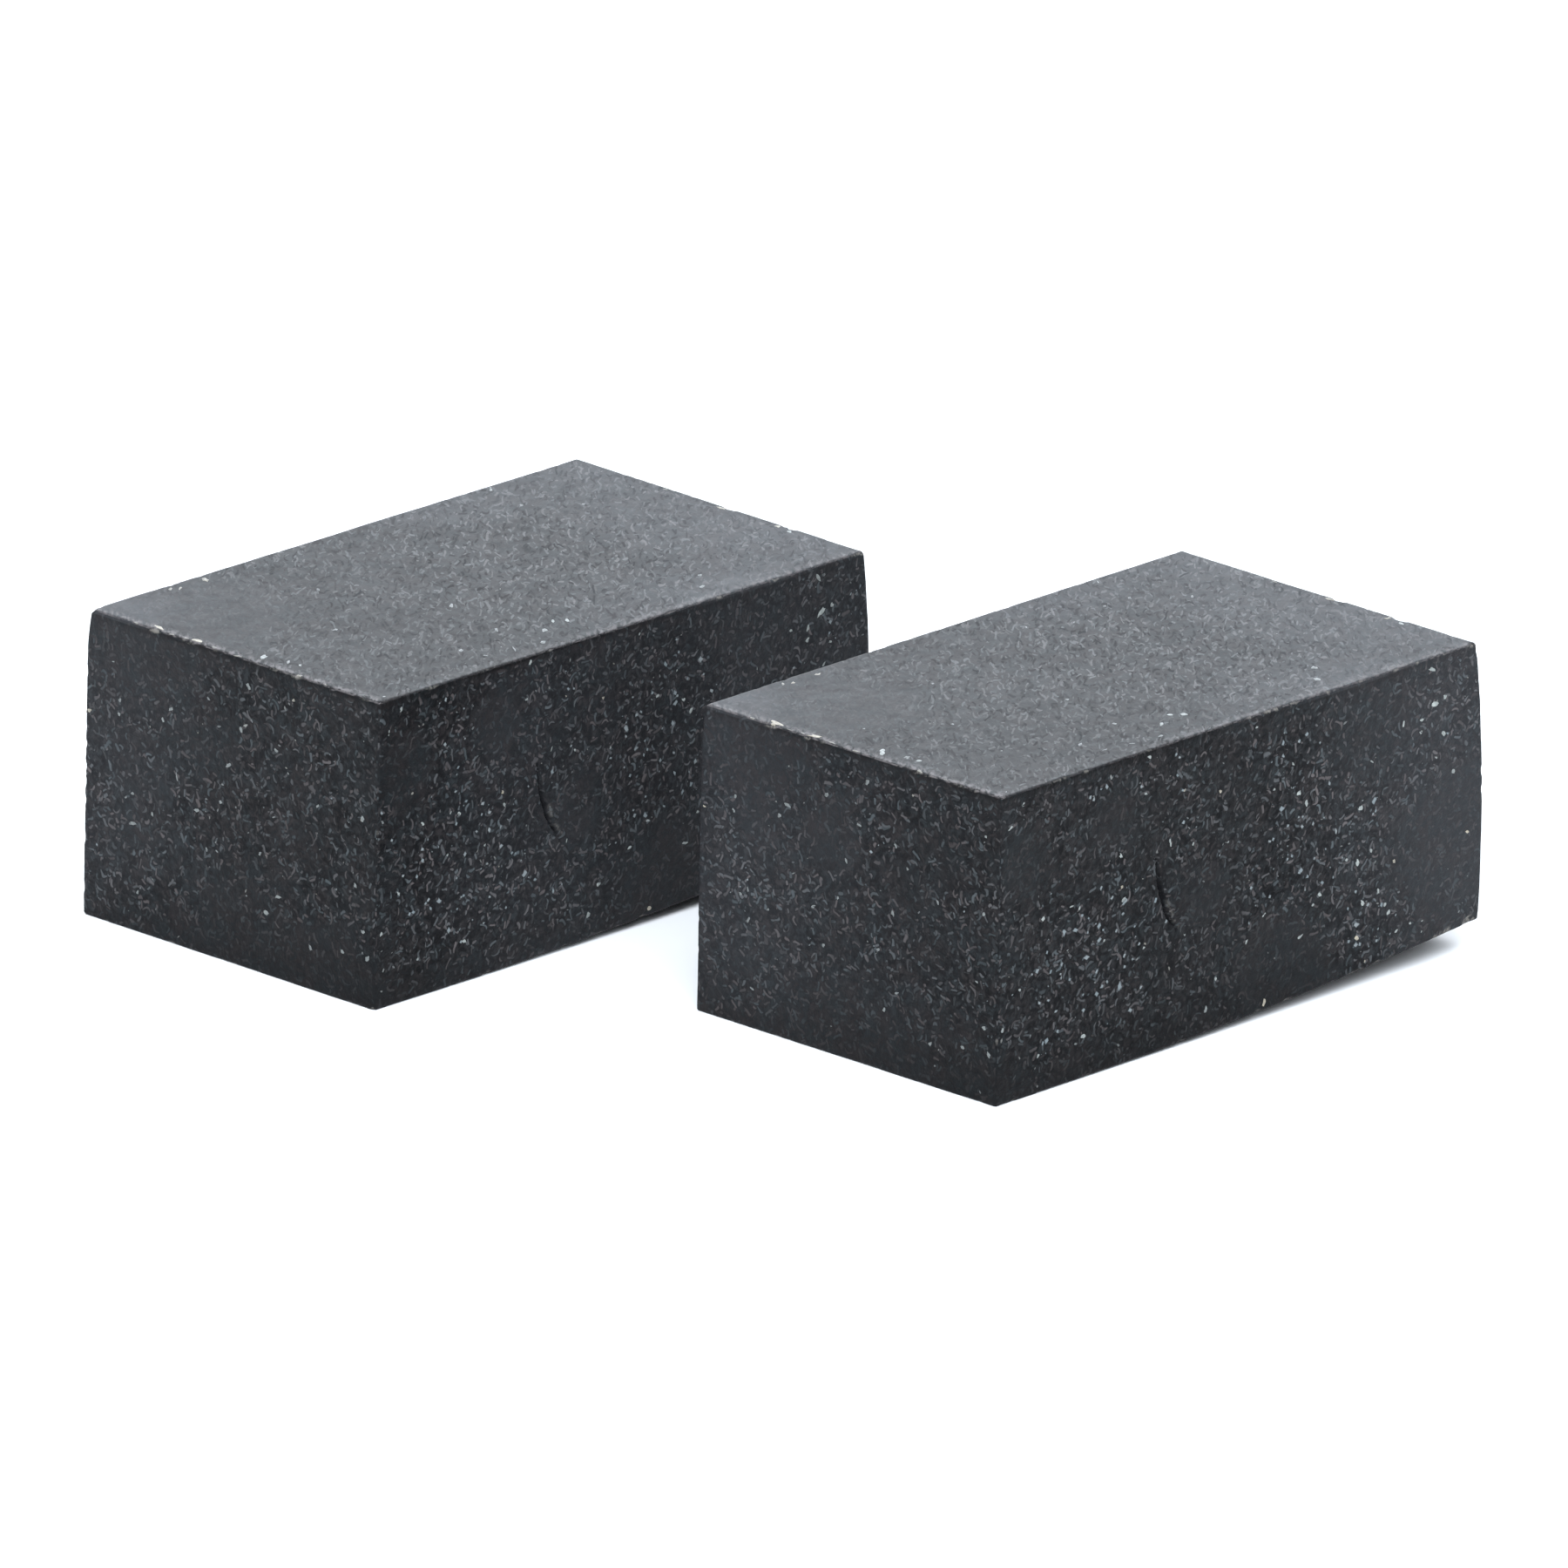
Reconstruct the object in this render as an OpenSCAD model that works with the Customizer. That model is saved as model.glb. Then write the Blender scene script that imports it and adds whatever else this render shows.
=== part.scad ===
// A set of short rectangular sticks of pressed black charcoal, lying loose beside each other.
// Every stick is one solid block of the same size, with flat faces for broad marks
// and straight edges for lines. Handling has broken the edges a little, and drawing
// has rubbed a bevel along one lower edge of each stick, deepest at the far corner.
// Millimetres, +Z up. The origin is on the table, at the middle of the set's outline.
// X runs along the sticks, towards the far corner, and Y runs from the front stick to the rear one.

/* [Stick] */
// Length of a stick
stick_l = 50; // [40:0.5:60]
// Width of a stick
stick_w = 29; // [24:0.5:35]
// Height of a stick
stick_h = 23.3; // [16:0.1:30]
// Width of the flat that handling has left along every edge, measured along each face
broken_edge = 0.3; // [0.1:0.05:1]

/* [Rubbed bevel] */
// Length of the bevel along the front lower edge, up to the far corner
rub_along = 48; // [20:1:50]
// Width of the bevel across the base, at the far end
rub_across = 12; // [6:0.5:16]
// How far the far lower corner stands off the table
rub_rise = 2.1; // [0.5:0.1:3]

/* [Layout] */
// How far the front stick's middle lies beyond the rear stick's middle, along the sticks
step_along = 17.2; // [0:0.2:30]
// Distance between the two sticks' middles, across the sticks
step_across = 44.7; // [40:0.1:60]
// Turn of the front stick on the table, from straight along the rear one
front_turn = 0.7; // [-5:0.1:5]

/* [Hidden] */
// Turn of the bevel's slope about the vertical, from straight along the stick towards its front
rub_turn = atan2(rub_along, rub_across);
// Distance up the slope, from where the base starts to curve up to the far corner
rub_run = rub_along * cos(rub_turn);
// Radius of the rubbed surface, which leaves the base smoothly and reaches rub_rise after rub_run
rub_radius = (rub_run * rub_run + rub_rise * rub_rise) / (2 * rub_rise);
// How far a cutting shape passes the stick, so that it cuts cleanly
overrun = 5;
// Half the length of the cutter along the bevel, more than the stick needs at any turn
cutter_half = 2 * stick_l;
// Facets asked of the rubbed surface's circle
rub_facets = 360;
// How far the turned front stick reaches from its own middle, to the corners of its broken edges
front_reach_x = (stick_l * cos(front_turn) + (stick_w - 2 * broken_edge) * abs(sin(front_turn))) / 2;
front_reach_y = (stick_w * cos(front_turn) + (stick_l - 2 * broken_edge) * abs(sin(front_turn))) / 2;
// The ends and the middle of the set's outline, from the rear stick's middle
set_far_x = max(stick_l / 2, step_along + front_reach_x);
set_near_x = min(-stick_l / 2, step_along - front_reach_x);
set_mid_x = (set_far_x + set_near_x) / 2;
set_mid_y = (stick_w / 2 - step_across - front_reach_y) / 2;
charcoal = [0.15, 0.155, 0.17];

// A rectangle centred on the origin, with its four corners cut off at 45 degrees
module broken_rectangle(along, across) {
    x = along / 2;
    y = across / 2;
    c = broken_edge;
    polygon([
        [x, y - c], [x - c, y],
        [c - x, y], [-x, y - c],
        [-x, c - y], [c - x, -y],
        [x - c, -y], [x, c - y]
    ]);
}

// The block as it left the press, with all twelve edges broken, standing on Z = 0
module pressed_block() {
    translate([0, 0, stick_h / 2])
        intersection() {
            linear_extrude(height = stick_h, center = true)
                broken_rectangle(stick_l, stick_w);
            rotate([90, 0, 0])
                linear_extrude(height = stick_w, center = true)
                    broken_rectangle(stick_l, stick_h);
            rotate([90, 0, 90])
                linear_extrude(height = stick_l, center = true)
                    broken_rectangle(stick_w, stick_h);
        }
}

// What drawing has taken off: the space under a wide arc that rises towards +X,
// with its highest point at the origin and its start rub_run before it
module rubbed_off() {
    rotate([90, 0, 0])
        linear_extrude(height = 2 * cutter_half, center = true)
            difference() {
                translate([-rub_run, -overrun])
                    square([rub_run + overrun, overrun + rub_rise + overrun]);
                translate([-rub_run, rub_radius])
                    circle(r = rub_radius, $fn = rub_facets);
            }
}

// One finished stick, with its middle above the origin
module stick() {
    color(charcoal)
        difference() {
            pressed_block();
            translate([stick_l / 2, -stick_w / 2, 0])
                rotate([0, 0, -rub_turn])
                    rubbed_off();
        }
}

// The stick at the back, on the left in a view along the set
module rear_stick() {
    translate([-set_mid_x, -set_mid_y, 0])
        stick();
}

// The stick in front, set further along and turned a little
module front_stick() {
    translate([step_along - set_mid_x, -step_across - set_mid_y, 0])
        rotate([0, 0, front_turn])
            stick();
}

rear_stick();
front_stick();
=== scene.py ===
"""The looks of the charcoal sticks: pressed blocks with worn edges, light mineral grains and
fine pale fibres, on a white table under soft light."""

import math
import random

import bmesh
import bpy
from mathutils import Matrix, Vector, kdtree, noise


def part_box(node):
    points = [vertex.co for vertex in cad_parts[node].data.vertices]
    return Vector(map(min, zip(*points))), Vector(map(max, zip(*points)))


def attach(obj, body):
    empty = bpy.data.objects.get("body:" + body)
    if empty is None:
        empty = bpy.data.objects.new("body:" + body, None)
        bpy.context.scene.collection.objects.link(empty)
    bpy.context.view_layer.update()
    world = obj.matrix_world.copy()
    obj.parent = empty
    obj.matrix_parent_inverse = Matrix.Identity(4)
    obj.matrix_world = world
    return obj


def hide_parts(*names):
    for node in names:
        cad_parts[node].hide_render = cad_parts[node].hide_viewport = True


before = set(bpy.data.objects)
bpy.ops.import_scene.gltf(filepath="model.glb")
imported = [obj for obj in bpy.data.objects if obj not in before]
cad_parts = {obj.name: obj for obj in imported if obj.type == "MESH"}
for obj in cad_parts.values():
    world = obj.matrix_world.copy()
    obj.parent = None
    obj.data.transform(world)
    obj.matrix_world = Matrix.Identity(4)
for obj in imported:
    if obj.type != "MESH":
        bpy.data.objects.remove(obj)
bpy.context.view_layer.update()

MM = 0.001
# each stick's node, the seed of what differs between the sticks, and its turn on the table
STICKS = [("rear_stick", 3, 0.0), ("front_stick", 8, math.radians(0.7))]
# a stick's size in millimetres, from the one that lies straight
REAR_LOW, REAR_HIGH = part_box("rear_stick")
SIZE = (REAR_HIGH - REAR_LOW) / MM

# ---- camera: a long lens, as for a catalogue picture ----------------------------------------
CAMERA_LENS_MM = 1200.0
CAMERA_SENSOR_MM = 36.0
CAMERA_AZIMUTH = -46.45
CAMERA_ELEVATION = 18.8
CAMERA_ROLL = 1.12
CAMERA_DISTANCE = 3797.0 * MM
CAMERA_CLIP_END = 40.0
# the point of the table that the camera looks at, from the rear stick's near lower corner
CAMERA_AIM = Vector((57.95, 15.0, 0.0)) * MM

# ---- shape, in millimetres from a stick's near lower corner: x along, y back, z up ----------
FAR = SIZE.x
BACK = SIZE.y
TOP = SIZE.z
EDGE_RADIUS = 0.22
EDGE_WAVER = 0.06
EDGE_WAVER_PER_MM = 0.4
# the mesh is cut finely this close to an edge, and coarsely elsewhere
RIM = 0.8
FINE_STEP = 0.11
COARSE_STEP = 0.34

# the faces' slow warp, their fine relief, and the pits that some of the cells hold
WARP = 0.03
WARP_PER_MM = 0.13
RELIEF = 0.013
RELIEF_PER_MM = 1.1
PITS_PER_MM = 0.55
PIT_DICE_PER_CELL = 3.1
PIT_LUCK = 0.35
PIT_RADIUS = 0.24
PIT_DEPTH = 0.09
# a face that looks up more than this is the top, which is this much smoother
TOP_FACING = 0.7
TOP_ROUGHNESS = 0.35
# a face that looks down more than this lies flat on the table
FLAT_FACING = 0.9

# the rubbed bevel along the front lower edge, as the CAD stick has it
RUB_ALONG = 48.0
RUB_ACROSS = 12.0
RUB_RISE = 2.1
RUB_TURN = math.atan2(RUB_ALONG, RUB_ACROSS)
RUB_RUN = RUB_ALONG * math.cos(RUB_TURN)
RUB_RADIUS = (RUB_RUN**2 + RUB_RISE**2) / (2.0 * RUB_RISE)
RUB_FADE = 6.0

# the top was wiped along one diagonal, turned this much from the stick's length; marks on it are
# this much longer that way, and this much finer altogether
WIPE_TURN = 0.76
WIPED_WAY = Vector((math.cos(WIPE_TURN), math.sin(WIPE_TURN), 0.0))
WIPE_STRETCH = 2.8
TOP_FINENESS = 1.35

# a low lip that pressing left along the top's front edge: its height and width
LIP_HEIGHT = 0.03
LIP_WIDTH = 0.9

# the far end is a shallow barrel, fullest low down; the back face is fuller below its shoulder;
# each grows from this share of the way along
FAR_BULGE = 1.2
FAR_BULGE_HEIGHT = 8.0
FAR_BULGE_RADIUS = 115.0
FAR_BULGE_START = 0.55
BACK_BULGE = 0.4
BACK_SHOULDER = 3.4
BACK_BULGE_START = 0.5

# the short crack in the front face: its bent path, its waver, and where the mesh is fine for it
CRACK_START = Vector((16.5, 0.0, 14.8))
CRACK_BEND = Vector((17.1, 0.0, 10.8))
CRACK_END = Vector((19.0, 0.0, 8.5))
CRACK_HALF_WIDTH = 0.2
CRACK_END_WIDTH = 0.35
CRACK_DEPTH = 0.5
CRACK_WAVER = 0.16
CRACK_WAVER_PER_MM = 0.9
CRACK_SAMPLES = 24
CRACK_SPAN = (15.8, 19.6)
CRACK_HEIGHTS = (7.8, 15.6)
CRACK_STEP = 0.19
# the crack's pale lip, in the chips' colour, this far beside it; it starts at this height and is full
# this much lower
CRACK_LIP = Vector((0.36, 0.0, 0.0))
CRACK_LIP_TOP = 12.5
CRACK_LIP_FADE = 2.0
CRACK_LIP_PALENESS = 0.5

# small bites out of the edges: a point on an edge, the bite's radius and its depth
BITES = [
    ((0.0, 22.6, TOP), 1.6, 0.12),
    ((0.0, 19.0, TOP), 1.3, 0.1),
    ((0.0, 8.4, TOP), 1.2, 0.1),
    ((FAR, 13.4, TOP), 1.2, 0.06),
    ((FAR, 7.4, TOP), 1.5, 0.08),
    ((27.7, 0.0, 0.4), 1.1, 0.25),
    ((37.7, 0.0, 0.9), 0.9, 0.2),
    ((8.0, BACK, TOP), 1.2, 0.12),
]
RANDOM_BITES = 110
BITE_RADIUS = (0.4, 1.4)
BITE_DEPTH = (0.02, 0.08)
# a bite comes from outside, away from the box that lies this far inside the faces
BITE_CORE = 2.0
# how far in from a bite's outline its surface is fully fresh
CHIP_FADE = 0.1

# how many light flecks there usually are, their clouds (cells per millimetre and strength), how
# many fewer there are in the sides' top strip and at the feet, and the fewest there can be
CROWD = 0.8
CROWD_CLOUDS = ((0.2, 0.25), (0.6, 0.35))
STRIP_BARENESS = 0.5
FOOT_BARENESS = 0.4
BARE_HEIGHT = 3.5
CROWD_LEAST = 0.22
# places where the light flecks are few (below 0) or many (above 0): centre, radius, strength
CROWDS = [
    ((2.8, 0.0, 17.5), 3.4, -0.6),
    ((12.0, 0.0, 19.0), 2.8, -0.5),
    ((30.0, 0.0, 3.0), 5.5, -0.6),
    ((48.0, 0.0, 8.0), 8.5, -0.6),
    ((39.0, 0.0, 20.5), 6.0, -0.25),
    ((20.8, 0.0, 11.0), 3.4, -0.4),
    ((40.0, 0.0, 5.0), 4.5, 0.2),
    ((9.0, 0.0, 9.0), 7.0, 0.3),
    ((31.0, 0.0, 14.0), 7.0, 0.3),
    ((0.0, 15.0, 1.0), 8.0, -0.4),
    ((0.0, 4.0, 1.0), 6.0, -0.4),
    ((0.0, 16.5, 16.5), 3.5, -0.4),
    ((-14.0, 14.5, 12.0), 26.0, -0.15),
    ((5.0, 24.0, TOP), 10.0, -0.5),
    ((33.0, 15.0, TOP), 13.0, 0.3),
]

# painted light and shade: places where the whole surface is darker (below 0) or paler (above 0),
# lighting the front face's far end and the near end, and shading the front face's near part
PAINTED_LIGHT_AND_SHADE = [
    ((58.0, -12.0, 16.0), 30.0, 0.85),
    ((10.0, -8.0, 12.0), 30.0, -0.2),
    ((0.0, 36.0, 14.0), 19.0, 0.38),
    ((-14.0, 14.5, 12.0), 26.0, 0.12),
]
# more of them on the top alone: painted light, paler towards its edges and corners
TOP_PAINTED_LIGHT = [
    ((54.0, 16.0, TOP), 18.0, 0.95),
    ((33.0, -3.0, TOP), 13.0, 0.5),
    ((38.0, -2.0, TOP), 8.0, 0.4),
    ((36.0, 31.0, TOP), 9.0, 0.9),
    ((-1.0, 30.0, TOP), 8.0, 1.1),
    ((49.0, 30.0, TOP), 8.0, 0.5),
]
# more of them on one stick's sides, painted light against cast shade: the rear one's front would be
# lost in the front stick's shadow without them, and the front one's near end is painted paler against
# the shade of the rear stick
OWN_PAINTED_LIGHT = {
    "rear_stick": [((24.0, -4.0, 12.0), 22.0, 0.6)],
    "front_stick": [((-6.0, 24.0, 14.0), 19.0, 0.2)],
}
# painted shadow at the feet: they are darker below this height
FOOT_PAINTED_SHADOW = -0.25
FOOT_HEIGHT = 6.0
# slow random shades
CLOUD_SHADE = 0.12
CLOUDS_PER_MM = 0.12
# the sides' uppermost strip, which the press left smooth and dark
STRIP_SHADE = -0.35
STRIP_HEIGHT = 0.7
# how far in from its near and front edges the top is pale, and within what it is fully so: dust
# on the near edge, a painted highlight on the front one; how strong the front edge's painted
# highlight is beside the near one's dust; from what share, and where, it grows to that
DUST_AND_HIGHLIGHT_WIDTH = 1.2
NEAR_DUST_FULL = 0.3
FRONT_HIGHLIGHT_FULL = 0.2
FRONT_HIGHLIGHT_STRENGTH = 0.7
FRONT_HIGHLIGHT_LEAST = 0.3
FRONT_HIGHLIGHT_SPAN = (10.0, 24.0)

# the largest light grains of each face: place along and across it, length, width, tone
# the first number runs along X on top and front, and along Y on the near end
CREAM_GRAINS = {
    "top": [
        (10.7, 28.0, 0.7, 0.4, 0.45), (8.0, 27.9, 0.6, 0.4, 0.45), (7.3, 28.2, 0.6, 0.4, 0.35),
        (0.6, 22.6, 1.9, 0.8, 0.8), (0.3, 19.7, 0.8, 0.3, 0.3), (0.5, 18.7, 1.7, 0.7, 0.8),
        (0.2, 24.6, 0.8, 0.3, 0.3), (0.2, 20.9, 0.9, 0.2, 0.3), (0.3, 16.9, 0.9, 0.3, 0.3),
        (0.2, 14.4, 0.8, 0.2, 0.3), (0.3, 8.2, 0.8, 0.4, 0.4), (0.2, 5.6, 0.8, 0.2, 0.3),
        (49.4, 8.2, 1.0, 0.8, 0.6), (49.5, 14.0, 1.2, 0.4, 0.6), (49.6, 19.5, 0.9, 0.3, 0.3),
    ],
    "front": [
        (28.2, 0.7, 0.9, 0.5, 0.9), (38.4, 0.9, 0.6, 0.3, 0.8), (37.5, 3.6, 0.6, 0.4, 1.0),
        (48.4, 9.1, 0.4, 0.4, 0.9), (12.9, 13.6, 0.4, 0.4, 0.6), (23.1, 18.4, 0.4, 0.4, 0.8),
        (41.0, 8.7, 0.4, 0.3, 0.7), (19.3, 19.4, 0.4, 0.3, 0.5),
    ],
    "end": [(28.6, 15.6, 0.9, 0.5, 0.7), (8.6, 21.4, 0.4, 0.3, 0.4)],
}
PALE_GRAINS = {
    "top": [
        (1.4, 13.0, 0.8, 0.5, 0.55), (1.8, 10.9, 0.6, 0.4, 0.2), (1.9, 9.8, 0.6, 0.4, 0.5),
        (0.6, 2.1, 0.6, 0.3, 0.2), (9.5, 13.7, 0.5, 0.3, 0.1), (15.1, 20.9, 0.4, 0.3, 0.0),
        (12.8, 4.3, 0.6, 0.4, 0.2), (19.5, 11.8, 0.6, 0.4, 0.2), (18.0, 5.8, 0.5, 0.3, 0.1),
        (22.4, 4.4, 0.6, 0.5, 0.6), (23.2, 3.8, 0.8, 0.5, 0.6), (20.4, 3.4, 0.8, 0.4, 0.35),
        (18.4, 1.6, 0.6, 0.4, 0.3), (15.8, 1.9, 0.8, 0.2, 0.1), (13.3, 2.3, 0.6, 0.2, 0.1),
        (1.2, 0.7, 0.7, 0.4, 0.2), (10.1, 0.7, 0.6, 0.3, 0.2), (37.5, 4.4, 0.6, 0.4, 0.35),
        (35.8, 2.5, 0.6, 0.4, 0.35), (39.4, 24.2, 0.4, 0.3, 0.1), (40.4, 28.3, 0.8, 0.4, 0.2),
        (42.8, 21.3, 0.4, 0.3, 0.1), (49.2, 6.8, 1.1, 0.6, 0.6),
    ],
    "front": [
        (2.3, 22.3, 0.7, 0.5, 0.6), (15.5, 22.8, 0.6, 0.4, 0.8), (45.1, 22.4, 1.0, 0.4, 0.65),
        (1.0, 20.8, 0.8, 0.4, 0.7), (15.2, 20.1, 0.5, 0.3, 0.7), (26.8, 22.4, 0.4, 0.3, 0.6),
        (45.2, 19.7, 1.1, 0.5, 1.0), (46.3, 20.0, 0.5, 0.4, 0.7), (42.0, 19.0, 0.9, 0.4, 0.9),
        (43.8, 18.8, 0.7, 0.4, 0.8), (43.7, 17.9, 0.6, 0.5, 0.8), (30.7, 18.7, 0.6, 0.3, 0.7),
        (28.8, 17.2, 0.5, 0.3, 0.7), (46.0, 17.2, 0.6, 0.4, 0.7), (38.7, 16.9, 0.6, 0.2, 0.6),
        (31.4, 16.3, 0.6, 0.5, 0.9), (32.2, 15.3, 0.7, 0.4, 0.7), (12.7, 16.0, 0.6, 0.4, 0.9),
        (17.9, 15.8, 0.9, 0.2, 0.7), (45.2, 15.6, 0.8, 0.3, 0.6), (20.3, 15.1, 0.4, 0.4, 0.9),
        (46.9, 14.1, 0.6, 0.5, 0.5), (37.6, 13.6, 0.6, 0.5, 0.9), (24.0, 14.4, 0.4, 0.3, 0.5),
        (7.6, 13.4, 0.9, 0.3, 0.7), (8.4, 13.0, 0.6, 0.4, 0.9), (4.6, 13.1, 0.7, 0.5, 0.9),
        (13.1, 12.6, 0.5, 0.3, 0.6), (7.3, 10.1, 0.5, 0.4, 0.7), (36.3, 10.0, 0.4, 0.3, 0.7),
        (37.4, 9.5, 0.7, 0.4, 1.0), (11.1, 10.0, 0.5, 0.3, 0.6), (38.7, 10.1, 0.4, 0.3, 0.6),
        (2.3, 8.4, 0.6, 0.4, 0.7), (15.3, 8.4, 0.4, 0.3, 0.8), (19.6, 8.4, 0.8, 0.2, 0.7),
        (33.7, 8.0, 0.5, 0.4, 0.8), (28.0, 7.9, 0.6, 0.3, 0.8), (39.5, 6.8, 0.5, 0.3, 0.7),
        (38.0, 6.3, 0.7, 0.4, 0.9), (26.2, 6.3, 0.6, 0.3, 0.8), (40.2, 5.6, 0.4, 0.3, 0.7),
        (31.8, 5.3, 0.9, 0.3, 0.7), (40.6, 4.9, 0.6, 0.4, 0.8), (23.0, 4.2, 0.5, 0.4, 0.7),
        (0.6, 5.7, 0.5, 0.4, 0.6), (9.1, 3.2, 0.8, 0.5, 0.9), (42.8, 3.2, 0.4, 0.3, 0.7),
        (44.0, 3.0, 0.4, 0.4, 0.9), (4.4, 2.9, 0.5, 0.4, 0.6), (41.4, 2.9, 0.6, 0.4, 0.8),
        (22.0, 2.0, 0.8, 0.5, 0.5), (44.0, 1.8, 0.4, 0.4, 0.9), (33.0, 7.4, 0.4, 0.3, 0.6),
    ],
    "end": [
        (13.1, 21.3, 0.7, 0.4, 0.3), (1.5, 20.1, 0.4, 0.3, 0.4), (17.0, 19.4, 0.6, 0.4, 0.2),
        (13.8, 17.9, 0.6, 0.3, 0.3), (20.7, 17.7, 0.9, 0.3, 0.3), (10.2, 17.2, 0.5, 0.3, 0.3),
        (25.6, 17.1, 0.6, 0.4, 0.3), (21.4, 16.7, 0.5, 0.4, 0.4), (25.7, 16.0, 0.5, 0.4, 0.4),
        (9.0, 15.8, 0.5, 0.3, 0.2), (15.0, 14.9, 0.7, 0.4, 0.3), (1.5, 14.2, 0.6, 0.5, 0.4),
        (6.0, 14.0, 0.6, 0.4, 0.3), (20.0, 12.7, 1.0, 0.2, 0.3), (10.4, 12.1, 0.8, 0.4, 0.3),
        (15.7, 11.9, 0.4, 0.4, 0.4), (18.0, 10.7, 0.8, 0.4, 0.4), (24.2, 10.4, 0.7, 0.3, 0.3),
        (24.9, 9.9, 0.5, 0.4, 0.3), (22.3, 9.3, 0.6, 0.3, 0.3), (2.1, 9.0, 0.6, 0.4, 0.3),
        (11.7, 9.0, 0.5, 0.3, 0.3), (24.1, 8.1, 0.9, 0.4, 0.3), (17.0, 8.0, 0.5, 0.4, 0.3),
        (9.8, 6.2, 0.9, 0.3, 0.4), (1.3, 5.7, 0.5, 0.4, 0.4), (11.0, 4.7, 0.6, 0.4, 0.4),
        (0.8, 3.8, 0.6, 0.4, 0.3), (3.3, 3.7, 0.6, 0.4, 0.3), (6.5, 3.2, 0.8, 0.4, 0.3),
        (23.6, 3.0, 0.7, 0.4, 0.3),
    ],
}
# how cream the listed grains are, from 0 to 1
CREAM = 0.9
PALE = 0.2

# the random grains: how many, how few of them the top gets for its area, their width's mean and
# spread as logarithms, their most width, their length in widths, and the shape of their tones
RANDOM_GRAINS = 450
TOP_SHARE = 0.07
GRAIN_WIDTH = (-1.75, 0.32)
GRAIN_MOST_WIDTH = 0.5
GRAIN_LENGTHS = (1.0, 2.6)
GRAIN_TONES = (1.0, 7.0)
# and how far they stay from the faces' edges, and from the edge at the foot
GRAIN_MARGIN = 0.3
GRAIN_FOOT_MARGIN = 0.5
# the grains' random draws are apart from their block's
GRAIN_SEED = 101
# every grain: how far it may turn, how much of that it keeps on the top's rims, how uneven its
# corners are, its most thickness, and how much of that is sunk
GRAIN_TURN = 1.4
RIM_GRAIN_TURN = 0.15
GRAIN_CORNERS = (0.68, 1.16)
GRAIN_MOST_THICK = 0.4
GRAIN_SUNK = 0.32


# ---- helpers --------------------------------------------------------------------------------
def smooth(value, low, high):
    """0 below low, 1 above high, and a soft step between them."""
    t = min(max((value - low) / (high - low), 0.0), 1.0)
    return t * t * (3.0 - 2.0 * t)


def new_object(name, mesh):
    piece = bpy.data.objects.new(name, mesh)
    bpy.context.scene.collection.objects.link(piece)
    return piece


def paint(mesh, name, values):
    """Stores one number for each vertex, for the material to read."""
    layer = mesh.attributes.new(name, "FLOAT", "POINT")
    layer.data.foreach_set("value", values)


def seed_shift(seed):
    """Moves a noise, so that each stick has its own."""
    return Vector((seed * 31.7, seed * 12.9, seed * 5.3))


def tally(point, places):
    """The strengths of the places that reach this point, added up: full to half the radius."""
    total = 0.0
    for centre, radius, strength in places:
        gap = (point - Vector(centre)).length
        total += strength * (1.0 - smooth(gap, radius * 0.5, radius * 1.1))
    return total


def top_strip(point):
    """1 at the top of a side, and 0 below the strip and on the top itself."""
    depth = TOP - point.z
    if depth < EDGE_RADIUS * 0.4:
        return 0.0
    return 1.0 - smooth(depth, STRIP_HEIGHT * 0.4, STRIP_HEIGHT)


def fleck_crowd(point, seed):
    """How many light flecks there are here, from 0 to 1."""
    shift = seed_shift(seed)
    crowd = CROWD
    for per_mm, strength in CROWD_CLOUDS:
        crowd += strength * noise.noise(point * per_mm + shift)
    foot = FOOT_BARENESS * (1.0 - smooth(point.z, 0.0, BARE_HEIGHT))
    crowd -= STRIP_BARENESS * top_strip(point) + foot
    return min(max(crowd + tally(point, CROWDS), CROWD_LEAST), 1.0)


def dust_and_highlight_on_rim(point):
    """How pale this place near the top's edges is, from 0 to 1: dust on the near edge, and a painted
    highlight on the front edge.
    """
    if point.z < TOP - EDGE_RADIUS * 0.5:
        return 0.0
    near = 1.0 - smooth(point.x, NEAR_DUST_FULL, DUST_AND_HIGHLIGHT_WIDTH)
    # the front edge's painted highlight
    front = 1.0 - smooth(point.y, FRONT_HIGHLIGHT_FULL, DUST_AND_HIGHLIGHT_WIDTH)
    growth = smooth(point.x, *FRONT_HIGHLIGHT_SPAN)
    front *= FRONT_HIGHLIGHT_LEAST + (1.0 - FRONT_HIGHLIGHT_LEAST) * growth
    return max(near, FRONT_HIGHLIGHT_STRENGTH * front)


def surface_tone_and_light(point, node, seed):
    """How pale the whole surface is here, 1 being usual: slow random clouds and the sides' dark top
    strip, with painted light and shade added.
    """
    cloud = CLOUD_SHADE * noise.noise(point * CLOUDS_PER_MM + seed_shift(seed))
    foot = FOOT_PAINTED_SHADOW * (1.0 - smooth(point.z, 0.0, FOOT_HEIGHT))
    local_painted_light = TOP_PAINTED_LIGHT if point.z > TOP - EDGE_RADIUS else OWN_PAINTED_LIGHT[node]
    places = PAINTED_LIGHT_AND_SHADE + local_painted_light
    return 1.0 + cloud + foot + STRIP_SHADE * top_strip(point) + tally(point, places)


# ---- the pressed block ----------------------------------------------------------------------
def grid_lines(length, dense=(0.0, 0.0), dense_step=FINE_STEP):
    """Places across a length, close together near both ends and in the dense stretch."""
    lines = [0.0]
    while lines[-1] < length:
        place = lines[-1]
        step = dense_step if dense[0] <= place < dense[1] else COARSE_STEP
        lines.append(place + (FINE_STEP if min(place, length - place) < RIM else step))
    return [place * length / lines[-1] for place in lines]


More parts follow.
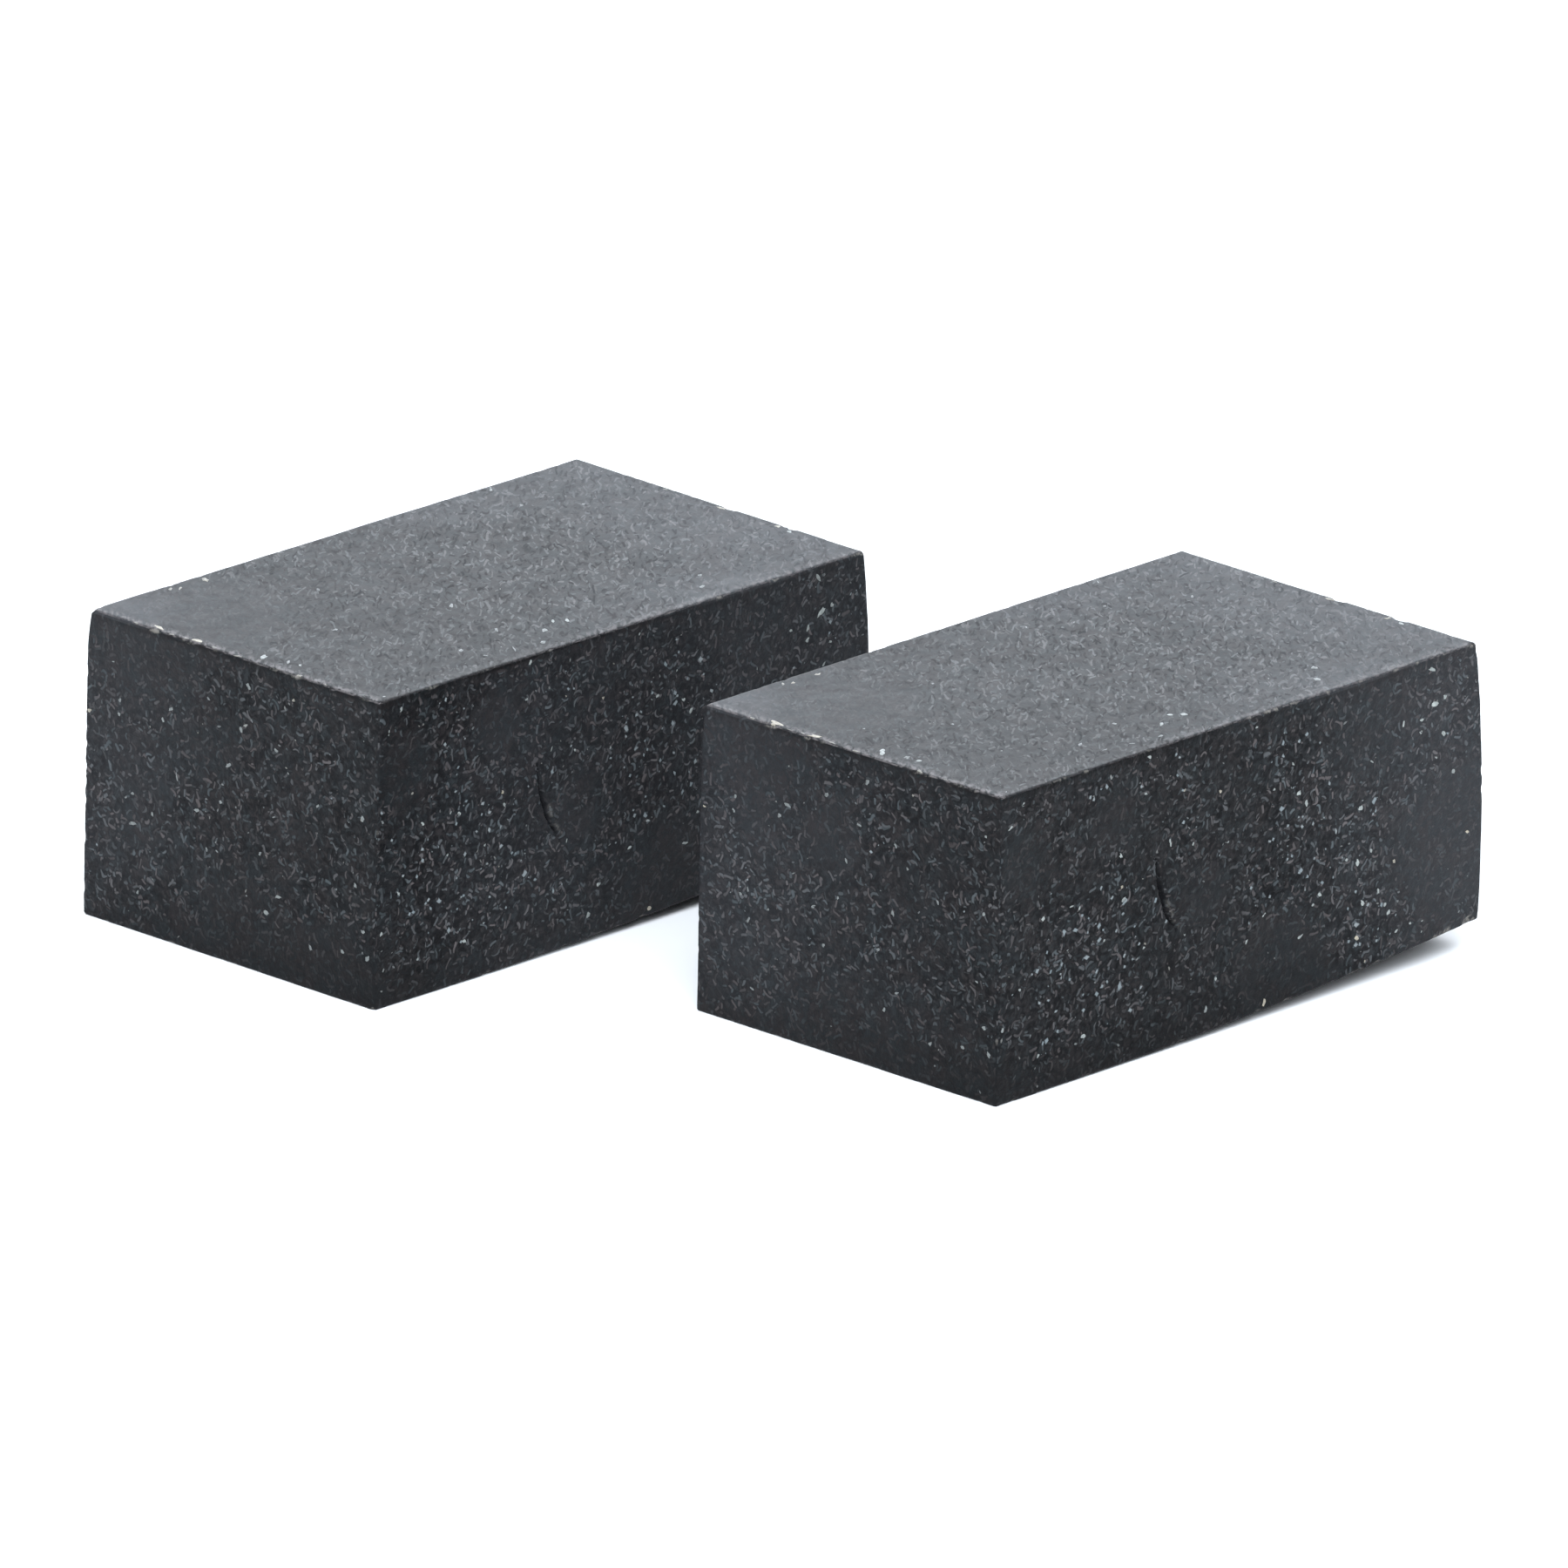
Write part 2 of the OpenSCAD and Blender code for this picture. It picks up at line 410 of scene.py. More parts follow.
def box_of_quads(xs, ys, zs):
    """A closed box whose faces are cut along these lines."""
    bm = bmesh.new()
    made = {}

    def vertex(*cell):
        if cell not in made:
            made[cell] = bm.verts.new((xs[cell[0]], ys[cell[1]], zs[cell[2]]))
        return made[cell]

    def sheet(count_a, count_b, place, flip):
        for a in range(count_a):
            for b in range(count_b):
                ring = [place(a, b), place(a + 1, b), place(a + 1, b + 1), place(a, b + 1)]
                bm.faces.new([vertex(*cell) for cell in (reversed(ring) if flip else ring)])

    nx, ny, nz = len(xs) - 1, len(ys) - 1, len(zs) - 1
    sheet(nx, ny, lambda a, b: (a, b, 0), True)
    sheet(nx, ny, lambda a, b: (a, b, nz), False)
    sheet(nx, nz, lambda a, b: (a, 0, b), False)
    sheet(nx, nz, lambda a, b: (a, ny, b), True)
    sheet(ny, nz, lambda a, b: (0, a, b), True)
    sheet(ny, nz, lambda a, b: (nx, a, b), False)
    return bm


def swell(place):
    """The slow shape of the pressed faces: a fuller far end and a fuller back."""
    drop = (place.z - FAR_BULGE_HEIGHT) ** 2 / (2.0 * FAR_BULGE_RADIUS)
    out = (FAR_BULGE - drop) * smooth(place.x, FAR * FAR_BULGE_START, FAR)
    shoulder = max(place.z - (TOP - BACK_SHOULDER), 0.0) / BACK_SHOULDER
    back = BACK_BULGE * (1.0 - shoulder**2) * smooth(place.y, BACK * BACK_BULGE_START, BACK)
    return Vector((out, back, 0.0))


def rub_lift(place):
    """How much higher the rubbed surface brings this place."""
    past = (place.x - FAR) * math.cos(RUB_TURN) - place.y * math.sin(RUB_TURN) + RUB_RUN
    if past <= 0.0 or place.z >= RUB_FADE:
        return 0.0
    lift = RUB_RADIUS - math.sqrt(RUB_RADIUS**2 - min(past, RUB_RADIUS) ** 2)
    return lift * (1.0 - max(place.z, 0.0) / RUB_FADE) ** 2


def crack_at(point):
    """How open the crack is at this place of the front face, from 0 to 1."""
    best = 0.0
    for step in range(CRACK_SAMPLES + 1):
        t = step / CRACK_SAMPLES
        path = CRACK_START.lerp(CRACK_BEND, t).lerp(CRACK_BEND.lerp(CRACK_END, t), t)
        path.x += CRACK_WAVER * noise.noise(Vector((0.0, 7.0, path.z * CRACK_WAVER_PER_MM)))
        gap = math.hypot(point.x - path.x, point.z - path.z)
        open_share = math.sin(math.pi * min(t * 1.1 + 0.05, 1.0))
        width = CRACK_HALF_WIDTH * (CRACK_END_WIDTH + (1.0 - CRACK_END_WIDTH) * open_share)
        best = max(best, math.exp(-((gap / width) ** 2)))
    return best


def worn_point(point, seed):
    """Where a point of the plain box ends up: edges rounded, faces slightly uneven."""
    shift = seed_shift(seed)
    radius = EDGE_RADIUS + EDGE_WAVER * noise.noise(point * EDGE_WAVER_PER_MM + shift)
    core = Vector([min(max(c, radius), s - radius) for c, s in zip(point, SIZE)])
    outward = (point - core).normalized()
    on_top = outward.z > TOP_FACING
    rough = TOP_ROUGHNESS if on_top else 1.0
    relief = WARP * noise.noise(point * WARP_PER_MM + shift)
    relief += rough * RELIEF * noise.fractal(point * RELIEF_PER_MM + shift, 0.7, 2.1, 3)
    (nearest, *_), (seat, *_) = noise.voronoi(point * PITS_PER_MM + shift)
    if noise.cell(seat * PIT_DICE_PER_CELL) > PIT_LUCK:
        relief -= rough * PIT_DEPTH * smooth(PIT_RADIUS - nearest, 0.0, PIT_RADIUS)
    if on_top:
        relief += LIP_HEIGHT * math.exp(-((point.y / LIP_WIDTH) ** 2))
    place = core + outward * (radius + relief)
    if outward.z < -FLAT_FACING:
        place.z = 0.0
    place += swell(place)
    place.z += rub_lift(place)
    return place


def edge_points(count, rng):
    """Random points on the twelve edges, the same number for each length of edge."""
    edges = []
    for axis in range(3):
        others = [other for other in range(3) if other != axis]
        for first in (0.0, 1.0):
            for second in (0.0, 1.0):
                start = [0.0, 0.0, 0.0]
                start[others[0]] = first * SIZE[others[0]]
                start[others[1]] = second * SIZE[others[1]]
                edges.append((axis, start))
    weights = [SIZE[axis] for axis, _ in edges]
    for axis, start in rng.choices(edges, weights=weights, k=count):
        place = list(start)
        place[axis] = rng.uniform(0.0, SIZE[axis])
        place = Vector(place)
        yield place + swell(place) + Vector((0.0, 0.0, rub_lift(place)))


def bite(verts, tree, chips, edge_point, radius, depth):
    """Presses the surface in to a ball that reaches this deep into the edge."""
    middle = Vector([min(max(c, BITE_CORE), s - BITE_CORE) for c, s in zip(edge_point, SIZE)])
    outward = (edge_point - middle).normalized()
    centre = edge_point + outward * (radius - depth - EDGE_RADIUS * 0.4)
    for _, index, gap in tree.find_range(centre, radius):
        vert = verts[index]
        vert.co = centre + (vert.co - centre).normalized() * radius
        chips[index] = max(chips[index], min((radius - gap) / CHIP_FADE, 1.0))


def make_block(node, seed):
    """The detailed block that stands for one CAD stick."""
    rng = random.Random(seed)
    xs = grid_lines(FAR, CRACK_SPAN)
    zs = grid_lines(TOP, CRACK_HEIGHTS, CRACK_STEP)
    bm = box_of_quads(xs, grid_lines(BACK), zs)
    bm.verts.ensure_lookup_table()
    cracks = []
    chips = []
    for vert in bm.verts:
        start = vert.co.copy()
        opening = 0.0
        lip = 0.0
        in_width = CRACK_SPAN[0] < start.x < CRACK_SPAN[1]
        if start.y == 0.0 and in_width and CRACK_HEIGHTS[0] < start.z < CRACK_HEIGHTS[1]:
            opening = crack_at(start)
            lip = smooth(CRACK_LIP_TOP - start.z, 0.0, CRACK_LIP_FADE)
            lip *= crack_at(start - CRACK_LIP)
        cracks.append(opening)
        chips.append(CRACK_LIP_PALENESS * max(lip - opening, 0.0))
        vert.co = worn_point(start, seed)
        vert.co.y += CRACK_DEPTH * opening
    tree = kdtree.KDTree(len(bm.verts))
    for index, vert in enumerate(bm.verts):
        tree.insert(vert.co, index)
    tree.balance()
    for place, radius, depth in BITES:
        bite(bm.verts, tree, chips, Vector(place), radius, depth)
    for place in edge_points(RANDOM_BITES, rng):
        bite(bm.verts, tree, chips, place, rng.uniform(*BITE_RADIUS), rng.uniform(*BITE_DEPTH))
    # at each vertex: how many flecks there are, how pale the surface is with its painted light and
    # shade, and the top rim's dust and painted highlight
    crowds = [fleck_crowd(vert.co, seed) for vert in bm.verts]
    vertex_tones_and_light = [surface_tone_and_light(vert.co, node, seed) for vert in bm.verts]
    rim_dusts_and_highlights = [dust_and_highlight_on_rim(vert.co) for vert in bm.verts]
    for vert in bm.verts:
        vert.co *= MM
    mesh = bpy.data.meshes.new(node + "_body")
    bm.to_mesh(mesh)
    bm.free()
    paint(mesh, "chip", chips)
    paint(mesh, "crack", cracks)
    paint(mesh, "crowd", crowds)
    paint(mesh, "paleness_and_light", vertex_tones_and_light)
    paint(mesh, "dust_and_painted_highlight", rim_dusts_and_highlights)
    mesh.shade_smooth()
    return new_object(node + "_body", mesh)


# ---- light mineral grains -------------------------------------------------------------------
def ball(subdivisions):
    """The corners and the faces of a round grain of radius 1."""
    bm = bmesh.new()
    bmesh.ops.create_icosphere(bm, subdivisions=subdivisions, radius=1.0)
    verts = [vert.co.copy() for vert in bm.verts]
    faces = [[vert.index for vert in face.verts] for face in bm.faces]
    bm.free()
    return verts, faces


SMALL_GRAIN = ball(1)
LARGE_GRAIN = ball(2)
# each face's outward direction, its two directions, and how far out it lies
FACES = {
    "top": (Vector((0, 0, 1)), Vector((1, 0, 0)), Vector((0, 1, 0)), TOP),
    "front": (Vector((0, -1, 0)), Vector((1, 0, 0)), Vector((0, 0, 1)), 0.0),
    "back": (Vector((0, 1, 0)), Vector((1, 0, 0)), Vector((0, 0, 1)), BACK),
    "end": (Vector((-1, 0, 0)), Vector((0, 1, 0)), Vector((0, 0, 1)), 0.0),
    "far": (Vector((1, 0, 0)), Vector((0, 1, 0)), Vector((0, 0, 1)), FAR),
}


def face_point(face, first, second):
    """A point of a named face, at these places along its two directions."""
    outward, along, across, reach = FACES[face]
    place = outward * reach * sum(outward) + along * first + across * second
    place += swell(place)
    place.z += rub_lift(place)
    return place


def add_grain(parts, shape, face, place, sizes, cream, rng):
    """One faceted grain, sunk into the face; those on the top lie the way it was wiped."""
    verts, faces, tones, creams = parts
    length, width, tone = sizes
    outward, along, _, _ = FACES[face]
    turn = rng.uniform(-GRAIN_TURN, GRAIN_TURN)
    on_top = face == "top"
    on_rim = on_top and min(place.x, FAR - place.x) < RIM
    if on_rim:
        turn = math.pi / 2 + RIM_GRAIN_TURN * turn
    along = Matrix.Rotation(turn, 3, outward) @ along
    across = outward.cross(along)
    thick = min(width, GRAIN_MOST_THICK) * 0.5
    middle = place - outward * thick * GRAIN_SUNK
    first = len(verts)
    for corner in shape[0]:
        c = corner * rng.uniform(*GRAIN_CORNERS)
        flat = along * c.x * length / 2 + across * c.y * width / 2
        if on_top and not on_rim:
            flat += WIPED_WAY * flat.dot(WIPED_WAY)
        verts.append((middle + flat + outward * c.z * thick / 2) * MM)
        tones.append(tone)
        creams.append(cream)
    faces.extend([first + index for index in ring] for ring in shape[1])


def make_grains(node, seed):
    """All the light grains that stand proud of one stick."""
    rng = random.Random(seed * GRAIN_SEED)
    parts = ([], [], [], [])
    for cream, faces_with_grains in ((CREAM, CREAM_GRAINS), (PALE, PALE_GRAINS)):
        for face, grains in faces_with_grains.items():
            for first, second, *sizes in grains:
                place = face_point(face, first, second)
                add_grain(parts, LARGE_GRAIN, face, place, sizes, cream, rng)
    extents = {}
    weights = []
    for face, (_, along, across, _) in FACES.items():
        extents[face] = (along.dot(SIZE), across.dot(SIZE))
        share = TOP_SHARE if face == "top" else 1.0
        weights.append(extents[face][0] * extents[face][1] * share)
    made = 0
    while made < RANDOM_GRAINS:
        face = rng.choices(list(FACES), weights=weights)[0]
        first = rng.uniform(GRAIN_MARGIN, extents[face][0] - GRAIN_MARGIN)
        second = rng.uniform(GRAIN_FOOT_MARGIN, extents[face][1] - GRAIN_MARGIN)
        place = face_point(face, first, second)
        if rng.random() > fleck_crowd(place, seed):
            continue
        width = min(rng.lognormvariate(*GRAIN_WIDTH), GRAIN_MOST_WIDTH)
        sizes = (width * rng.uniform(*GRAIN_LENGTHS), width, rng.betavariate(*GRAIN_TONES))
        add_grain(parts, SMALL_GRAIN, face, place, sizes, rng.random(), rng)
        made += 1
    verts, faces, tones, creams = parts
    mesh = bpy.data.meshes.new(node + "_grains")
    mesh.from_pydata(verts, [], faces)
    paint(mesh, "tone", tones)
    paint(mesh, "cream", creams)
    return new_object(node + "_grains", mesh)


# ---- materials ------------------------------------------------------------------------------
class Graph:
    """A short way to write a material's nodes. A value is a socket or a plain number."""

    def __init__(self, name):
        self.material = bpy.data.materials.new(name)
        self.material.use_nodes = True
        self.tree = self.material.node_tree
        self.shader = self.tree.nodes["Principled BSDF"]

    def node(self, kind, inputs=(), **settings):
        made = self.tree.nodes.new(kind)
        for key, value in settings.items():
            setattr(made, key, value)
        for key, value in dict(inputs).items():
            self.feed(made.inputs[key], value)
        return made

    def feed(self, socket, value):
        if isinstance(value, bpy.types.NodeSocket):
            self.tree.links.new(value, socket)
        else:
            socket.default_value = value

    def math(self, operation, *values):
        return self.node("ShaderNodeMath", enumerate(values), operation=operation).outputs[0]

    def vector_math(self, operation, *values):
        return self.node("ShaderNodeVectorMath", enumerate(values), operation=operation).outputs

    def vector(self, operation, *values):
        """A vector operation whose answer is a vector."""
        return self.vector_math(operation, *values)["Vector"]

    def scaled(self, vector, factor):
        inputs = {"Vector": vector, "Scale": factor}
        return self.node("ShaderNodeVectorMath", inputs, operation="SCALE").outputs[0]

    def measure(self, operation, *values):
        """A vector operation whose answer is a number."""
        return self.vector_math(operation, *values)["Value"]

    def split(self, vector):
        return self.node("ShaderNodeSeparateXYZ", {"Vector": vector}).outputs

    def join(self, x, y, z=0.0):
        return self.node("ShaderNodeCombineXYZ", {"X": x, "Y": y, "Z": z}).outputs[0]

    def noise(self, place, scale, detail=2.0, roughness=0.5):
        inputs = {"Vector": place, "Scale": scale, "Detail": detail, "Roughness": roughness}
        return self.node("ShaderNodeTexNoise", inputs).outputs["Fac"]

    def step(self, value, low, high):
        """0 where value is at low, 1 where it is at high, with a soft step between."""
        inputs = {"Value": value, "From Min": low, "From Max": high}
        return self.node("ShaderNodeMapRange", inputs, interpolation_type="SMOOTHSTEP").outputs[0]

    def mix(self, share, first, second):
        """A colour between two colours."""
        made = self.node("ShaderNodeMix", data_type="RGBA")
        self.feed(made.inputs["Factor"], share)
        for socket, value in zip((made.inputs[6], made.inputs[7]), (first, second)):
            self.feed(socket, value if isinstance(value, bpy.types.NodeSocket) else (*value, 1.0))
        return made.outputs[2]

    def blend(self, share, first, second):
        """A number between two numbers."""
        gap = self.math("SUBTRACT", second, first)
        return self.math("MULTIPLY_ADD", share, gap, first)

    def painted(self, name):
        return self.node("ShaderNodeAttribute", attribute_name=name).outputs["Fac"]

    def place_mm(self, seed):
        """The place on the stick in millimetres from its near lower corner, moved by the seed."""
        coords = self.node("ShaderNodeTexCoord").outputs["Object"]
        return self.vector("MULTIPLY_ADD", coords, (1000.0,) * 3, tuple(seed_shift(seed)))

    def facing(self):
        """Which way the face looks: -1, 0 or 1 on each of the stick's axes."""
        normal = self.node("ShaderNodeTexCoord").outputs["Normal"]
        return self.vector("FLOOR", self.vector("ADD", normal, (0.5, 0.5, 0.5)))

    def flat_place(self, place, facing):
        """The place along and up the face, in millimetres, apart for each of the six faces."""
        x, y, z = self.split(place)
        on_end, _, on_flat = self.split(self.vector("ABSOLUTE", facing))
        apart = self.measure("DOT_PRODUCT", facing, (61.0, 127.0, 193.0))
        along = self.math("ADD", self.blend(on_end, x, y), apart)
        return self.join(along, self.blend(on_flat, z, y))

    def spun(self, place, angle):
        """Turns places about the vertical."""
        inputs = {"Vector": place, "Angle": angle}
        return self.node("ShaderNodeVectorRotate", inputs, rotation_type="Z_AXIS").outputs[0]

    def wiped(self, place, top):
        """Turns places, and draws those on the top together one way: marks there are longer."""
        turned = self.spun(place, -WIPE_TURN)
        along = self.blend(top, 1.0, TOP_FINENESS / WIPE_STRETCH)
        across = self.blend(top, 1.0, TOP_FINENESS)
        return self.vector("MULTIPLY", turned, self.join(along, across, 1.0))

    def wavy(self, plane, scale, reach):
        """Shifts places by up to half this reach, so that what lies on them bends."""
        inputs = {"Vector": plane, "Scale": scale, "Detail": 1.0}
        drift = self.node("ShaderNodeTexNoise", inputs).outputs["Color"]
        drift = self.vector("SUBTRACT", drift, (0.5, 0.5, 0.5))
        return self.vector("MULTIPLY_ADD", drift, (reach, reach, 0.0), plane)

    def scatter(self, plane, pitch, turn, metric="EUCLIDEAN"):
        """One thing in each cell of this size: its offset from the cell's middle and its dice."""
        inputs = {"Vector": plane, "Rotation": (0.0, 0.0, turn), "Scale": (1.0 / pitch,) * 3}
        spread = self.node("ShaderNodeMapping", inputs).outputs[0]
        cell = self.node(
            "ShaderNodeTexVoronoi", {"Vector": spread, "Scale": 1.0},
            voronoi_dimensions="2D", distance=metric,
        )
        dice = self.node("ShaderNodeSeparateColor", {"Color": cell.outputs["Color"]}).outputs
        offset = self.vector("SUBTRACT", spread, cell.outputs["Position"])
        return offset, dice, cell.outputs["Distance"]

    def strokes(self, plane, pitch, turn, width, reach):
        """Short bent strokes, one to a cell: the gap to the stroke's middle line, and two dice."""
        offset, dice, _ = self.scatter(plane, pitch, turn)
        spin = self.math("MULTIPLY", dice[0], 2.0 * math.pi)
        x, y, _ = self.split(self.spun(offset, spin))
        length = self.math("MULTIPLY_ADD", dice[1], 1.0 - STROKE_SHORTEST, STROKE_SHORTEST)
        half = self.math("MULTIPLY", length, reach)
        over = self.math("MAXIMUM", self.math("SUBTRACT", self.math("ABSOLUTE", x), half), 0.0)
        bend = self.math("MULTIPLY_ADD", dice[2], 2.0 * STROKE_BEND, -STROKE_BEND)
        bent = self.math("MULTIPLY_ADD", self.math("MULTIPLY", x, x), bend, y)
        gap = self.math("DIVIDE", self.measure("LENGTH", self.join(over, bent)), width)
        luck = self.math("FRACT", self.math("MULTIPLY", dice[0], 23.0))
        hue = self.math("FRACT", self.math("MULTIPLY", dice[1], 17.0))
        return gap, luck, hue

    def bump(self, height, distance):
        """Bumps on the shader, this high at most."""
        inputs = {"Height": height, "Distance": distance, "Strength": 1.0}
        self.feed(self.shader.inputs["Normal"], self.node("ShaderNodeBump", inputs).outputs["Normal"])


INK = (0.0042, 0.0043, 0.0052)
COOL_FLECK = (0.160, 0.190, 0.203)
WARM_FLECK = (0.212, 0.182, 0.180)
SPECK = (0.22, 0.24, 0.245)
DUST = (0.24, 0.225, 0.20)
# the top's rim: dust on the near edge, and a painted highlight on the front edge
RIM_DUST_AND_HIGHLIGHT_COLOUR = (0.112, 0.102, 0.103)
# painted shade inside the crack
CRACK_PAINTED_SHADE = (0.003, 0.003, 0.004)
# how much dust a chip holds at most
CHIP_DUST = 0.6
# how far the plain ground is from ink to fleck, how much darker it is between many flecks, and
# how far apart its darkest and palest places are there
GROUND = 0.065
GROUND_DROP = 0.008
MOTTLE = 0.28
# layers of fine strokes: cell size in millimetres, turn, stroke half width and half length in cells
STROKE_LAYERS = [
    (0.66, 0.3, 0.142, 0.33),
    (0.78, 1.4, 0.132, 0.33),
    (0.95, 2.3, 0.105, 0.33),
    (0.85, 2.9, 0.115, 0.32),
    (1.20, 0.9, 0.090, 0.33),
]
# the shortest stroke's share of the full length, and how far a stroke bends at most, either way
STROKE_SHORTEST = 0.2
STROKE_BEND = 1.4
# a stroke is from this dark to this much paler, and its height counts this much in the bumps
STROKE_DARK = 0.01
STROKE_PALE = 0.47
STROKE_RELIEF = 0.10
# how much darker the ground is right beside a stroke: painted shade in the crevice around it
STROKE_CREVICE_SHADE = 0.44
# how much the paler places gain over the rest; most of that gain is painted light
PALER_GAIN_AND_LIGHT = (0.0152, 0.0156, 0.0170)
# layers of angular specks: cell size in millimetres, turn, reach in cells, share without one
SPECK_LAYERS = [
    (1.25, 0.8, 0.22, 0.88),
    (0.80, 2.0, 0.24, 0.93),
]
# on the top, how much there is of the sides' contrast, stroke relief and general unevenness
TOP_CONTRAST = 0.18
TOP_RELIEF = 1.05
TOP_UNEVENNESS = 0.25
# roughness on the sides and on the top: how much it varies, and what it usually is
SIDE_MATT = (0.30, 0.52)
TOP_MATT = (0.14, 0.46)
RELIEF_GLOSS = 0.3
CHARCOAL_IOR = 1.16
BUMP_DISTANCE = 0.12 * MM

# the grains: from dark to clear mineral, cool or cream, and the cloudy places in them
GRAIN_DARK = (0.055, 0.06, 0.06)
GRAIN_COOL = (0.30, 0.35, 0.35)
GRAIN_CREAM = (0.42, 0.36, 0.26)
GRAIN_CLOUD = (0.12, 0.125, 0.13)
GRAIN_CLOUD_SHARE = 0.4
# a grain's roughness where it is clear, and how much more it is where it is cloudy
GRAIN_GLASSY = 0.35
GRAIN_CLOUD_MATT = 0.25
GRAIN_BUMP_DISTANCE = 0.03 * MM


def charcoal_material(name, seed):
    """Pressed charcoal: blue-black, with pale fibres and specks, dusty chips and a satin top."""
    g = Graph(name)
    place = g.place_mm(seed)
    facing = g.facing()
    top = g.math("MAXIMUM", g.split(facing)[2], 0.0)
    plane = g.wavy(g.wiped(g.flat_place(place, facing), top), 1.1, 0.6)
    crowd = g.painted("crowd")
    height = g.noise(g.wiped(place, top), 1.6, 2.0, 0.6)
    height = g.math("MULTIPLY", height, g.blend(top, 1.0, TOP_UNEVENNESS))

    contrast = g.math("MULTIPLY", crowd, g.blend(top, 1.0, TOP_CONTRAST))
    gentle = g.math("MULTIPLY", crowd, g.blend(top, 1.0, TOP_RELIEF))

    # the ground: plain where flecks are few, darker and mottled where there are many
    mottle = g.noise(g.wiped(place, top), 2.4, 2.0, 0.6)
    mottle = g.math("MULTIPLY_ADD", mottle, MOTTLE, -MOTTLE / 2 - GROUND_DROP)
    level = g.math("MULTIPLY_ADD", mottle, contrast, GROUND)
    brown = g.step(g.noise(place, 0.5, 2.0), 0.35, 0.65)
    colour = g.mix(level, INK, g.mix(brown, COOL_FLECK, WARM_FLECK))

    # fine strokes on each other, from dark to pale
    relief = 0.0
    for pitch, turn, width, reach in STROKE_LAYERS:
        gap, luck, hue = g.strokes(plane, pitch, turn, width, reach)
        tone = g.math("POWER", g.step(luck, 0.2, 1.1), 1.4)
        tone = g.math("MULTIPLY_ADD", tone, STROKE_PALE, STROKE_DARK)
        tone = g.blend(contrast, GROUND, tone)
        cover = g.step(gap, 1.4, 0.4)
        # painted shade in the crevice beside the stroke
        shade_beside = g.math("MULTIPLY", g.step(gap, 2.0, 1.3), g.math("MULTIPLY", contrast, STROKE_CREVICE_SHADE))
        colour = g.scaled(colour, g.math("SUBTRACT", 1.0, shade_beside))
        colour = g.mix(cover, colour, g.mix(tone, INK, g.mix(hue, COOL_FLECK, WARM_FLECK)))
        raised = g.math("MULTIPLY", g.math("SUBTRACT", luck, 0.5), gentle)
        relief = g.blend(cover, relief, raised)

    # darker places, painted shade among them, are scaled down, and the paler ones, mostly painted
    # light, gain a pale tone
    paleness_and_light = g.painted("paleness_and_light")
    paler_gain_with_light = g.scaled(PALER_GAIN_AND_LIGHT, g.math("SUBTRACT", g.math("MAXIMUM", paleness_and_light, 1.0), 1.0))
    colour = g.vector("ADD", g.scaled(colour, g.math("MINIMUM", paleness_and_light, 1.0)), paler_gain_with_light)

    # angular specks, in a few of the cells
    for pitch, turn, reach, share in SPECK_LAYERS:
        _, dice, gap = g.scatter(plane, pitch, turn, "MANHATTAN")
        chance = g.math("MULTIPLY", contrast, dice[0])
        size = g.math("MULTIPLY", g.step(chance, share * 0.75, 1.0), reach)
        spot = g.step(g.math("SUBTRACT", gap, size), 0.02, -0.08)
        colour = g.mix(spot, colour, g.mix(dice[1], COOL_FLECK, SPECK))

    # streaks of dust along the top's near edge, and of painted highlight along its front edge
    streak = g.step(g.noise(plane, 1.8, 2.0, 0.6), 0.40, 0.64)
    colour = g.mix(g.math("MULTIPLY", g.painted("dust_and_painted_highlight"), streak), colour, RIM_DUST_AND_HIGHLIGHT_COLOUR)

    # fresh dust in the chips, and painted shade in the crack
    flour = g.math("MULTIPLY", g.step(g.noise(place, 2.6, 2.0, 0.6), 0.42, 0.6), CHIP_DUST)
    colour = g.mix(g.math("MULTIPLY", g.painted("chip"), flour), colour, DUST)
    colour = g.mix(g.painted("crack"), colour, CRACK_PAINTED_SHADE)

    g.feed(g.shader.inputs["Base Color"], colour)
    cloud = g.math("SUBTRACT", g.noise(place, 0.8, 2.0), 0.5)
    varied, usual = [g.blend(top, *ends) for ends in zip(SIDE_MATT, TOP_MATT)]
    matt = g.math("MULTIPLY_ADD", cloud, varied, usual)
    glossy = g.math("MULTIPLY", relief, RELIEF_GLOSS)
    g.feed(g.shader.inputs["Roughness"], g.math("SUBTRACT", matt, glossy))
    g.shader.inputs["IOR"].default_value = CHARCOAL_IOR
    g.bump(g.math("MULTIPLY_ADD", relief, STROKE_RELIEF, height), BUMP_DISTANCE)
    return g.material


def grain_material(name, seed):
    """Light mineral: grey to white or cream, some of it greenish, cloudy, glassy where it broke."""
    g = Graph(name)
    place = g.place_mm(seed)
    tone = g.painted("tone")
    tinted = g.mix(g.painted("cream"), GRAIN_COOL, GRAIN_CREAM)
    cloudy = g.step(g.noise(place, 4.0, 3.0), 0.35, 0.65)
    colour = g.mix(tone, GRAIN_DARK, tinted)
    colour = g.mix(g.math("MULTIPLY", cloudy, GRAIN_CLOUD_SHARE), colour, GRAIN_CLOUD)
    g.feed(g.shader.inputs["Base Color"], colour)
    matt = g.math("MULTIPLY_ADD", cloudy, GRAIN_CLOUD_MATT, GRAIN_GLASSY)
    g.feed(g.shader.inputs["Roughness"], matt)
    g.bump(g.noise(place, 6.0, 3.0), GRAIN_BUMP_DISTANCE)
    return g.material


# ---- table, light and camera ----------------------------------------------------------------
# half the table's side, in metres
TABLE_REACH = 12.0
TABLE_COLOUR = (0.93, 0.93, 0.93, 1.0)
LIGHT_COLOUR = (0.86, 0.925, 1.0)
SKY_COLOUR = (0.95, 0.975, 1.0, 1.0)
SKY_STRENGTH = 0.4
